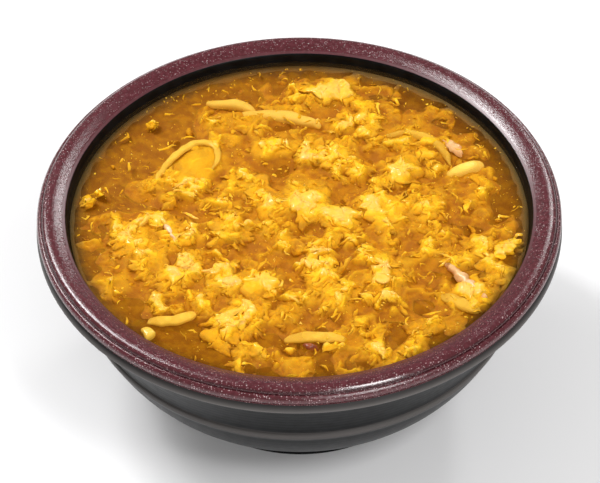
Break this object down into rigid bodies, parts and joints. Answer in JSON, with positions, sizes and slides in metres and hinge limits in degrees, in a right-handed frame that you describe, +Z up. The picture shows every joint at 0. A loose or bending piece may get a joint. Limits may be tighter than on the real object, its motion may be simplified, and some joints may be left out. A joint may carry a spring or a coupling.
{
  "type": "bowl of udon",
  "caption": "Stoneware bowl with a rolled rim and foot ring, filled almost to the rim with amber broth that carries a raft of soft egg curds, with udon, onion and pork showing in it",
  "frame": {"origin": "Middle of the foot ring on the table", "axes": "+Z up, through the bowl's axis; -Y towards the side that the picture is taken from; +X to its right"},
  "size_m": [0.2, 0.2, 0.085],
  "materials": {
    "stoneware": "Satin charcoal glaze on the body and inside wall, and a glossy purple-brown glaze with fine pale speckles over the rolled rim",
    "broth": "Thickened amber-brown broth, wet and glossy, slightly cloudy",
    "egg": "Soft egg curds, moist, golden orange under the broth and pale yellow where they stand out of it",
    "noodle": "Smooth boiled wheat noodle, slightly translucent, tinted by the broth",
    "onion": "Simmered onion, translucent, glossy, yellow-green at its edges",
    "pork": "Simmered thin pork, matt pinkish-grey with pale fat, wet"
  },
  "bodies": {
    "root": {"bowl": "stoneware", "broth": "broth", "egg_curds": "egg", "udon_noodle_1": "noodle", "udon_noodle_2": "noodle", "udon_noodle_3": "noodle", "onion_slice_1": "onion", "onion_slice_2": "onion", "onion_slice_3": "onion", "onion_slice_4": "onion", "onion_slice_5": "onion", "onion_slice_6": "onion", "onion_slice_7": "onion", "pork_shred_1": "pork", "pork_shred_2": "pork", "pork_shred_3": "pork", "pork_shred_4": "pork", "egg_lump_1": "egg", "egg_lump_2": "egg", "egg_lump_3": "egg", "egg_lump_4": "egg"}
  },
  "joints": []
}
